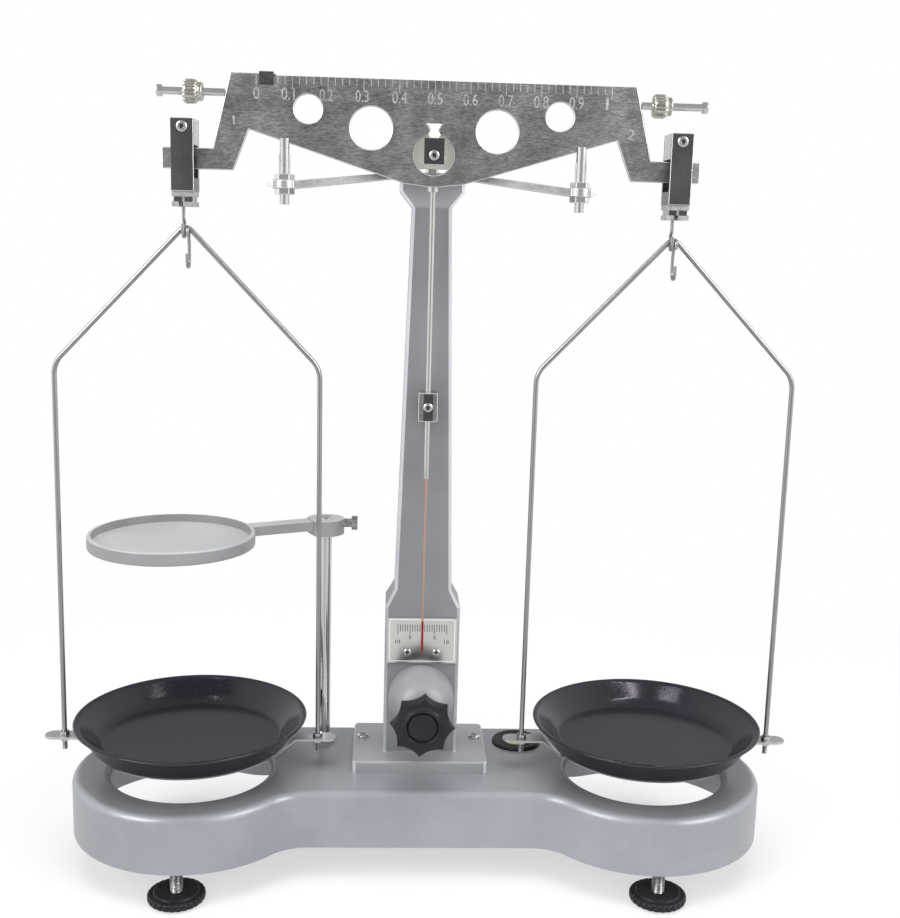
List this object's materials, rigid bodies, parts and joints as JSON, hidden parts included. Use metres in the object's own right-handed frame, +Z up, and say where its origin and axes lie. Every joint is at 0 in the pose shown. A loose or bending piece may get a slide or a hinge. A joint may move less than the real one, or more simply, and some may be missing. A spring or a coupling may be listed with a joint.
{
  "type": "laboratory beam balance",
  "caption": "Free-standing two-pan beam balance with a pierced beam, hanging bails and pans, pointer, arrest knob, spirit level, levelling feet and a side tray.",
  "frame": {"origin": "on the table, under the middle of the beam plane; the depth middle of the bounds lies 2.9 mm in front of it", "axes": "+X along the beam to the right-hand pan, +Y to the back, +Z up"},
  "size_m": [0.49, 0.1578, 0.5014],
  "materials": {
    "casting_paint": "satin grey hammer paint",
    "column_paint": "satin grey hammer paint",
    "black_rubber": "matt",
    "bright_screw": "bright plated",
    "scale_enamel": "white print on polished plate",
    "black_knob": "moulded, satin",
    "plated_steel": "plated",
    "plated_arm": "bare cast",
    "bright_brass": "nickel plated",
    "bearing_stone": "polished agate",
    "dark_plate": "black anodised",
    "beam_metal": "coarsely brushed and clear coated",
    "knife_steel": "ground",
    "level_glass": "yellow-green liquid under glass",
    "tray_paint": "pale grey paint",
    "stirrup_block_metal": "bare, light",
    "wire_steel": "drawn and plated",
    "pan_plastic": "glossy dark blue-violet"
  },
  "bodies": {
    "base": {"base_casting": "casting_paint", "column": "column_paint", "column_screws": "bright_screw", "scale_plate": "scale_enamel", "scale_screws": "bright_screw", "arrest_dome": "column_paint", "support_arms": "plated_arm", "support_pins": "plated_steel", "support_pin_nuts": "plated_steel", "level_housing": "black_knob", "level_vial": "level_glass", "tray_post_nuts": "plated_steel", "rear_foot": "black_rubber"},
    "arrest_control": {"arrest_knob": "black_knob", "arrest_shaft": "plated_steel"},
    "lift": {"lift_rod": "plated_steel", "bearing_bracket": "bright_brass", "centre_bearing": "bearing_stone", "stop_plate": "dark_plate", "stop_screw": "bright_screw"},
    "beam_unit": {"beam": "beam_metal", "centre_knife": "knife_steel", "end_knives": "knife_steel", "pointer": "plated_steel", "beam_rods": "bright_brass"},
    "rider_weight": {"rider": "dark_plate"},
    "left_nut": {"left_balance_nut": "bright_brass"},
    "right_nut": {"right_balance_nut": "bright_brass"},
    "bob": {"sensitivity_bob": "dark_plate", "bob_screw": "bright_screw"},
    "post": {"tray_post": "plated_steel"},
    "tray": {"tray_dish": "tray_paint", "tray_collar": "tray_paint"},
    "tray_clamp": {"tray_clamp_screw": "plated_steel"},
    "left_stirrup": {"left_stirrup_plates": "dark_plate", "left_stirrup_block": "stirrup_block_metal", "left_stirrup_bearing": "bearing_stone", "left_stirrup_foot": "dark_plate", "left_stirrup_screws": "bright_screw", "left_stirrup_hook": "wire_steel"},
    "left_hanger": {"left_bail": "wire_steel", "left_bail_nuts": "bright_screw", "left_pan_carrier": "wire_steel"},
    "left_hook": {"left_specimen_hook": "wire_steel"},
    "left_pan_unit": {"left_pan": "pan_plastic"},
    "left_foot": {"left_foot_stud": "plated_steel"},
    "left_foot_wheel": {"left_foot_knob": "black_knob"},
    "right_stirrup": {"right_stirrup_plates": "dark_plate", "right_stirrup_block": "stirrup_block_metal", "right_stirrup_bearing": "bearing_stone", "right_stirrup_foot": "dark_plate", "right_stirrup_screws": "bright_screw", "right_stirrup_hook": "wire_steel"},
    "right_hanger": {"right_bail": "wire_steel", "right_bail_nuts": "bright_screw", "right_pan_carrier": "wire_steel"},
    "right_hook": {"right_specimen_hook": "wire_steel"},
    "right_pan_unit": {"right_pan": "pan_plastic"},
    "right_foot": {"right_foot_stud": "plated_steel"},
    "right_foot_wheel": {"right_foot_knob": "black_knob"}
  },
  "joints": [
    {"name": "arrest_knob_turn", "type": "hinge", "parent": "base", "child": "arrest_control", "pos_m": [0, 0.0045, 0.1074], "axis": [0, 1, 0], "range_deg": [-90, 0]},
    {"name": "beam_lift", "type": "slide", "parent": "base", "child": "lift", "axis": [0, 0, 1], "range_m": [-0.0025, 0]},
    {"name": "beam_swing", "type": "hinge", "parent": "lift", "child": "beam_unit", "pos_m": [0, 0, 0.459], "axis": [0, -1, 0], "range_deg": [-2, 2]},
    {"name": "rider_slide", "type": "slide", "parent": "beam_unit", "child": "rider_weight", "axis": [1, 0, 0], "range_m": [0, 0.214]},
    {"name": "left_balance_nut_travel", "type": "slide", "parent": "beam_unit", "child": "left_nut", "axis": [1, 0, 0], "range_m": [-0.011, 0.012]},
    {"name": "right_balance_nut_travel", "type": "slide", "parent": "beam_unit", "child": "right_nut", "axis": [1, 0, 0], "range_m": [-0.0055, 0.018]},
    {"name": "bob_slide", "type": "slide", "parent": "beam_unit", "child": "bob", "axis": [0, 0, 1], "range_m": [-0.035, 0.11]},
    {"name": "tray_post_turn", "type": "hinge", "parent": "base", "child": "post", "pos_m": [-0.0655, 0.035, 0.2], "axis": [0, 0, 1], "range_deg": [-100, 30]},
    {"name": "tray_height", "type": "slide", "parent": "post", "child": "tray", "axis": [0, 0, 1], "range_m": [-0.1, 0]},
    {"name": "tray_clamp_turn", "type": "hinge", "parent": "tray", "child": "tray_clamp", "pos_m": [-0.0655, 0.035, 0.217], "axis": [1, 0, 0], "range_deg": [0, 360]},
    {"name": "left_stirrup_swing", "type": "hinge", "parent": "beam_unit", "child": "left_stirrup", "pos_m": [-0.15, 0, 0.459], "axis": [0, 1, 0], "range_deg": [-2, 2]},
    {"name": "left_bail_swing", "type": "hinge", "parent": "left_stirrup", "child": "left_hanger", "pos_m": [-0.15, 0, 0.406], "axis": [1, 0, 0], "range_deg": [-10, 4]},
    {"name": "left_specimen_hook_swing", "type": "hinge", "parent": "left_hanger", "child": "left_hook", "pos_m": [-0.15, 0, 0.406], "axis": [1, 0, 0], "range_deg": [-20, 20]},
    {"name": "left_pan_lift", "type": "slide", "parent": "left_hanger", "child": "left_pan_unit", "axis": [0, 0, 1], "range_m": [0, 0.06]},
    {"name": "left_foot_height", "type": "slide", "parent": "base", "child": "left_foot", "axis": [0, 0, 1], "range_m": [-0.00375, 0.00375]},
    {"name": "left_foot_knob_turn", "type": "hinge", "parent": "left_foot", "child": "left_foot_wheel", "pos_m": [-0.15, -0.064, 0.0035], "axis": [0, 0, 1], "range_deg": [-1080, 1080]},
    {"name": "right_stirrup_swing", "type": "hinge", "parent": "beam_unit", "child": "right_stirrup", "pos_m": [0.15, 0, 0.459], "axis": [0, 1, 0], "range_deg": [-2, 2]},
    {"name": "right_bail_swing", "type": "hinge", "parent": "right_stirrup", "child": "right_hanger", "pos_m": [0.15, 0, 0.406], "axis": [1, 0, 0], "range_deg": [-8, 8]},
    {"name": "right_specimen_hook_swing", "type": "hinge", "parent": "right_hanger", "child": "right_hook", "pos_m": [0.15, 0, 0.406], "axis": [1, 0, 0], "range_deg": [-20, 20]},
    {"name": "right_pan_lift", "type": "slide", "parent": "right_hanger", "child": "right_pan_unit", "axis": [0, 0, 1], "range_m": [0, 0.06]},
    {"name": "right_foot_height", "type": "slide", "parent": "base", "child": "right_foot", "axis": [0, 0, 1], "range_m": [-0.00375, 0.00375]},
    {"name": "right_foot_knob_turn", "type": "hinge", "parent": "right_foot", "child": "right_foot_wheel", "pos_m": [0.15, -0.064, 0.0035], "axis": [0, 0, 1], "range_deg": [-1080, 1080]}
  ],
  "couplings": [
    {"joint": "arrest_knob_turn", "follows": "beam_lift", "rad_per_m": 628.32},
    {"joint": "left_foot_knob_turn", "follows": "left_foot_height", "rad_per_m": 5026.5},
    {"joint": "right_foot_knob_turn", "follows": "right_foot_height", "rad_per_m": 5026.5}
  ]
}
